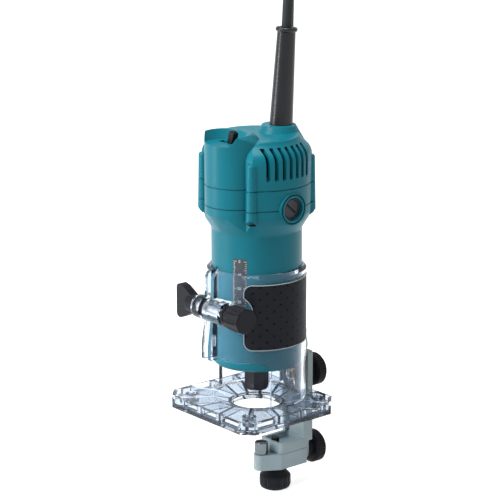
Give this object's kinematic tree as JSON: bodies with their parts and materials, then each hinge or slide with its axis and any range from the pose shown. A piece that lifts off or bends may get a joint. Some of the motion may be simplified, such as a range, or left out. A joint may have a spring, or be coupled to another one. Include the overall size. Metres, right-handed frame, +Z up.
{
  "type": "trim router",
  "caption": "Corded trim router with an upright cylindrical motor in a clear split base, and a roller trimmer guide bolted to the back of the base.",
  "frame": {"origin": "where the bit's axis meets the underside of the sole", "axes": "+Z up along the motor, -Y the front with the switch and the clamp, +Y the back with the cord and the trimmer guide, +X the side with the depth knob"},
  "size_m": [0.1859, 0.2106, 0.4212],
  "materials": {
    "teal_plastic": "moulded glass-filled nylon, fine texture",
    "black_plastic": "moulded, satin",
    "clear_plastic": "clear moulded polycarbonate",
    "black_rubber": "matt rubber",
    "cord_rubber": "matt rubber sheath",
    "zinc": "die-cast, satin",
    "steel": "turned and ground steel",
    "black_steel": "black-oxide steel",
    "chrome": "polished hard chrome",
    "brass": "plain brass",
    "copper": "enamelled copper",
    "core_steel": "stacked laminations",
    "carbon": "pressed carbon",
    "scale": "printed plate",
    "white_nylon": "moulded nylon",
    "cap_plastic": "moulded, satin"
  },
  "bodies": {
    "base": {"clear_base": "clear_plastic", "sole_plate": "clear_plastic", "sole_screws": "steel", "grip_pad": "black_rubber", "clamp_washer": "steel", "guide_insert": "brass"},
    "motor_unit": {"motor_housing": "teal_plastic", "bearing_ring": "teal_plastic", "rear_cover": "teal_plastic", "housing_screws": "steel", "depth_rack": "steel", "depth_scale": "scale", "field_core": "core_steel", "field_coils": "copper", "lower_bearing": "steel", "upper_bearing": "steel", "nose_ring": "steel", "air_baffle": "white_nylon", "brush_holders": "brass", "carbon_brushes": "carbon", "brush_springs": "steel", "brush_caps": "cap_plastic", "switch_body": "black_plastic", "lever_pin": "steel", "cord_clamp": "black_plastic", "cord_guard": "black_rubber", "cord_in_guard": "cord_rubber", "mains_cord": "cord_rubber", "cord_hank": "cord_rubber", "cord_tie": "black_plastic", "plug_body": "black_plastic", "plug_pins": "brass"},
    "spindle": {"armature_shaft": "steel", "armature_core": "core_steel", "commutator": "copper", "cooling_fan": "white_nylon", "collet": "steel"},
    "collet_nut": {"collet_nut": "black_steel"},
    "depth_adjuster": {"adjuster_rod": "steel", "depth_pinion": "black_plastic", "adjuster_knob": "black_plastic"},
    "wing_nut": {"wing_nut": "black_plastic"},
    "switch_lever": {"switch_lever": "black_plastic"},
    "guide_holder": {"guide_holder": "zinc"},
    "guide_arm": {"guide_arm": "zinc", "roller_pin": "steel"},
    "guide_roller": {"guide_roller": "chrome"},
    "guide_adjuster": {"guide_adjuster": "black_plastic"},
    "holder_clamp": {"holder_clamp_screw": "black_plastic"},
    "arm_clamp": {"arm_clamp_screw": "black_plastic"}
  },
  "joints": [
    {"name": "depth_slide", "type": "slide", "parent": "base", "child": "motor_unit", "axis": [0, 0, 1], "range_m": [-0.026, 0.012]},
    {"name": "spindle_spin", "type": "hinge", "parent": "motor_unit", "child": "spindle", "pos_m": [0, 0, 0.1], "axis": [0, 0, 1], "continuous": true},
    {"name": "collet_nut_turn", "type": "hinge", "parent": "spindle", "child": "collet_nut", "pos_m": [0, 0, 0.023], "axis": [0, 0, 1], "range_deg": [0, 360]},
    {"name": "depth_knob_turn", "type": "hinge", "parent": "base", "child": "depth_adjuster", "pos_m": [0, -0.0395, 0.081], "axis": [1, 0, 0], "range_deg": [-200, 93]},
    {"name": "wing_nut_turn", "type": "hinge", "parent": "base", "child": "wing_nut", "pos_m": [-0.028, -0.0395, 0.081], "axis": [1, 0, 0], "range_deg": [0, 270]},
    {"name": "switch_flip", "type": "hinge", "parent": "motor_unit", "child": "switch_lever", "pos_m": [0, -0.0255, 0.188], "axis": [0, 1, 0], "range_deg": [-31, 0]},
    {"name": "guide_height", "type": "slide", "parent": "base", "child": "guide_holder", "axis": [0, 0, 1], "range_m": [-0.007, 0.003]},
    {"name": "guide_reach", "type": "slide", "parent": "guide_holder", "child": "guide_arm", "axis": [0, 1, 0], "range_m": [-0.012, 0]},
    {"name": "guide_reach_turn", "type": "hinge", "parent": "guide_holder", "child": "guide_adjuster", "pos_m": [0, 0.05, -0.0425], "axis": [0, 1, 0], "range_deg": [-4325, 5]},
    {"name": "roller_spin", "type": "hinge", "parent": "guide_arm", "child": "guide_roller", "pos_m": [0, 0.0044, -0.033], "axis": [0, 0, 1], "continuous": true},
    {"name": "holder_clamp_turn", "type": "hinge", "parent": "base", "child": "holder_clamp", "pos_m": [0, 0.05, 0.018], "axis": [0, 1, 0], "range_deg": [0, 360]},
    {"name": "arm_clamp_turn", "type": "hinge", "parent": "guide_holder", "child": "arm_clamp", "pos_m": [0, 0.0178, -0.06], "axis": [0, 0, 1], "range_deg": [0, 360]}
  ],
  "couplings": [
    {"joint": "depth_knob_turn", "follows": "depth_slide", "rad_per_m": 133.33},
    {"joint": "guide_reach_turn", "follows": "guide_reach", "rad_per_m": 6283.2}
  ]
}
